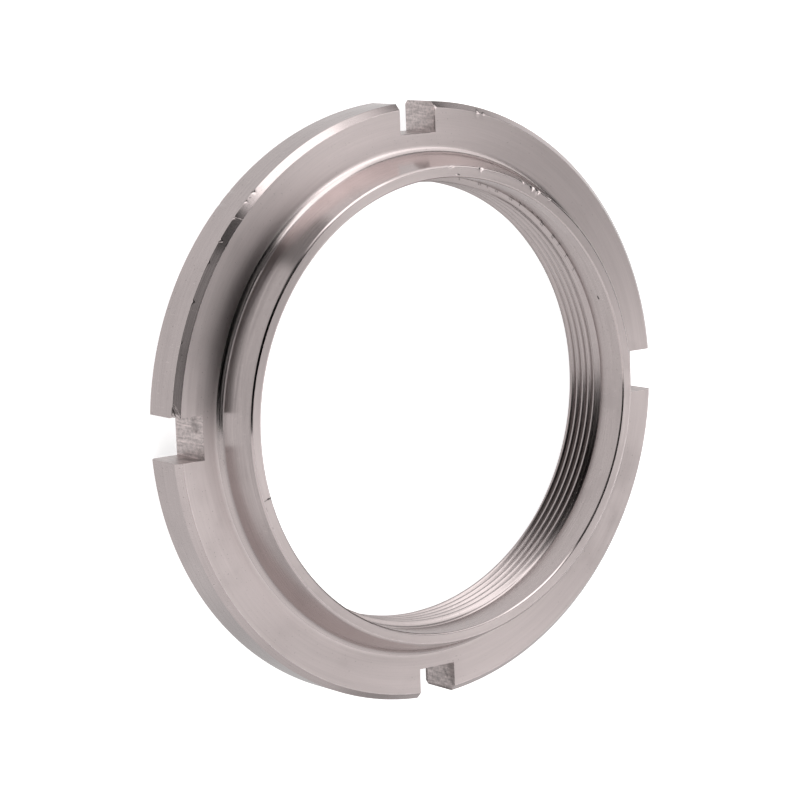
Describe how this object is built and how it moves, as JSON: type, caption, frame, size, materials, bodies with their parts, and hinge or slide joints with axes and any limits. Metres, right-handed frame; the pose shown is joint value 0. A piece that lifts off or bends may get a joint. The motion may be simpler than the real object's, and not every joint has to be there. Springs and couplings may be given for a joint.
{
  "type": "bearing lock nut",
  "caption": "Round lock nut with a fine internal thread, a tapered collar that bears on a bearing, and spanner slots round its flange.",
  "frame": {"origin": "on the bore's axis, in the plane of the back face that the nut rests on", "axes": "+Z along the bore's axis, from the back face towards the collar's end; the four spanner slots lie on +X, +Y, -X and -Y"},
  "size_m": [0.0998, 0.0998, 0.014],
  "materials": {
    "turned_steel": "turned, bright"
  },
  "bodies": {
    "root": {"lock_nut": "turned_steel"}
  },
  "joints": []
}
